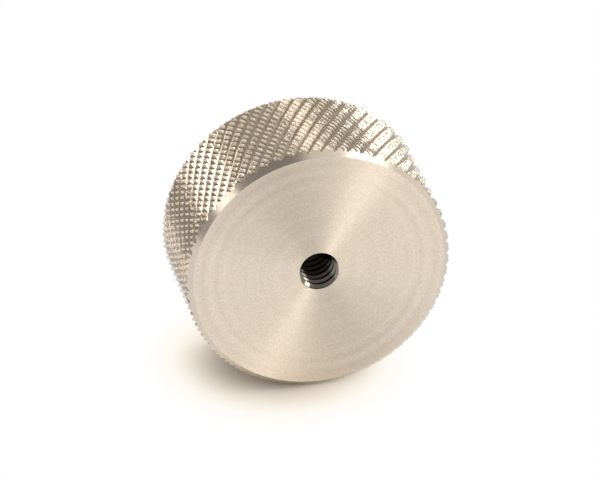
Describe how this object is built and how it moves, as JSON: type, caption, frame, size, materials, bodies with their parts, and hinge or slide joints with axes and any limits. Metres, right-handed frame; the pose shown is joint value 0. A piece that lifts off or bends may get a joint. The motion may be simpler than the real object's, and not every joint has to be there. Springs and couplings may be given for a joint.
{
  "type": "knurled knob",
  "caption": "Round steel hand knob with a diamond-knurled rim, chamfered edges and a blind tapped hole in its flat front face.",
  "frame": {"origin": "centre of the plain rear face, which the knob stands on", "axes": "+Z along the knob's axis, out of the mouth of the tapped hole"},
  "size_m": [0.0386, 0.0386, 0.0173],
  "materials": {
    "steel": "turned bare metal with fine concentric tool marks on the flat faces and a rolled knurl on the rim"
  },
  "bodies": {
    "root": {"knob": "steel"}
  },
  "joints": []
}
